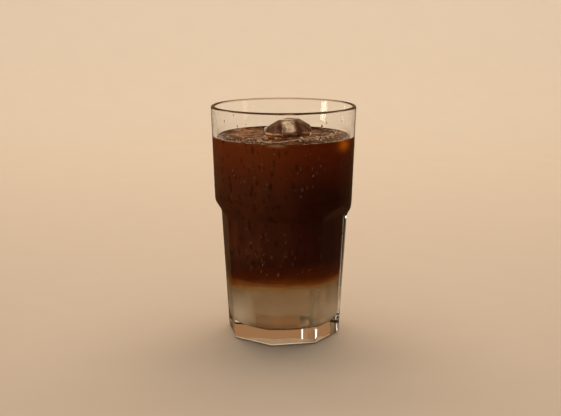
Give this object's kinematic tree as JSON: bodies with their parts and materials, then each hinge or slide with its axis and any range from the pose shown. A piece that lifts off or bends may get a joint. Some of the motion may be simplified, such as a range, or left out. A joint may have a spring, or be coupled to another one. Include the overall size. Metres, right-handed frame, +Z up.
{
  "type": "coffee lemonade in a faceted glass tumbler",
  "caption": "tall clear tumbler with a round upper part and flat-sided lower part, filled with a pale lemonade layer under dark coffee, with an ice lump at the surface",
  "frame": {"origin": "middle of the base of the glass, on the surface that it stands on", "axes": "+Z up along the axis of the glass, -Y towards the front as it is usually seen, +X to the right"},
  "size_m": [0.087, 0.087, 0.14],
  "materials": {
    "clear_glass": "clear pressed glass, fire-polished, with light condensation outside",
    "coffee": "dark brown cold coffee, nearly opaque, with a wet glossy surface",
    "amber_blend": "amber zone where coffee and lemonade blend, soft wavy edges",
    "lemonade": "pale cloudy lemonade, hazy and translucent",
    "ice": "melting clear ice with soft wet facets"
  },
  "bodies": {
    "root": {"glass": "clear_glass", "coffee": "coffee", "amber_blend": "amber_blend", "lemonade": "lemonade", "ice": "ice"}
  },
  "joints": []
}
